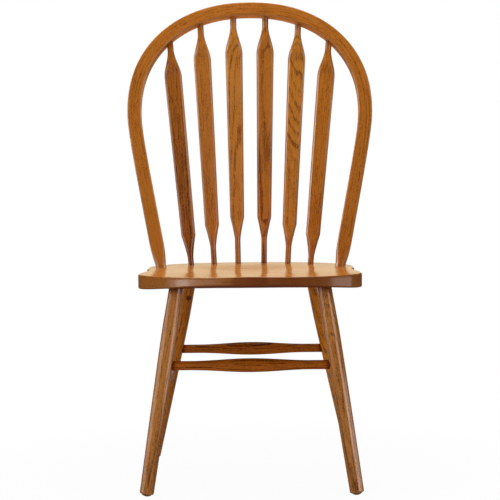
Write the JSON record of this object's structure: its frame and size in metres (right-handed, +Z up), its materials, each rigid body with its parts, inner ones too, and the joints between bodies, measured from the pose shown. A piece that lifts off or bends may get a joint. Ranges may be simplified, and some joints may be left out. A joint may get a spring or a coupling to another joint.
{
  "type": "arrow back chair",
  "caption": "Wooden side chair with a bent hoop back, flat arrow spindles, a scooped plank seat, splayed turned legs and a box of turned stretchers; stands free on nailed glides.",
  "frame": {"origin": "on the floor, under the middle of the chair's box", "axes": "+X to the right of someone facing the chair, +Y to the chair's back, +Z up"},
  "size_m": [0.543, 0.4828, 1.0408],
  "materials": {
    "seat": "golden oak, gloss lacquer",
    "hoop": "golden oak, gloss lacquer",
    "spindle": "golden oak, gloss lacquer",
    "leg": "golden oak, gloss lacquer",
    "stretcher": "golden oak, gloss lacquer",
    "glide": "worn moulded nylon"
  },
  "bodies": {
    "root": {"seat": "seat", "back_hoop": "hoop", "arrow_spindle_1": "spindle", "arrow_spindle_2": "spindle", "arrow_spindle_3": "spindle", "arrow_spindle_4": "spindle", "arrow_spindle_5": "spindle", "arrow_spindle_6": "spindle", "front_leg_left": "leg", "front_leg_right": "leg", "back_leg_left": "leg", "back_leg_right": "leg", "front_stretcher": "stretcher", "rear_stretcher": "stretcher", "left_stretcher": "stretcher", "right_stretcher": "stretcher", "front_glide_left": "glide", "front_glide_right": "glide", "back_glide_left": "glide", "back_glide_right": "glide"}
  },
  "joints": []
}
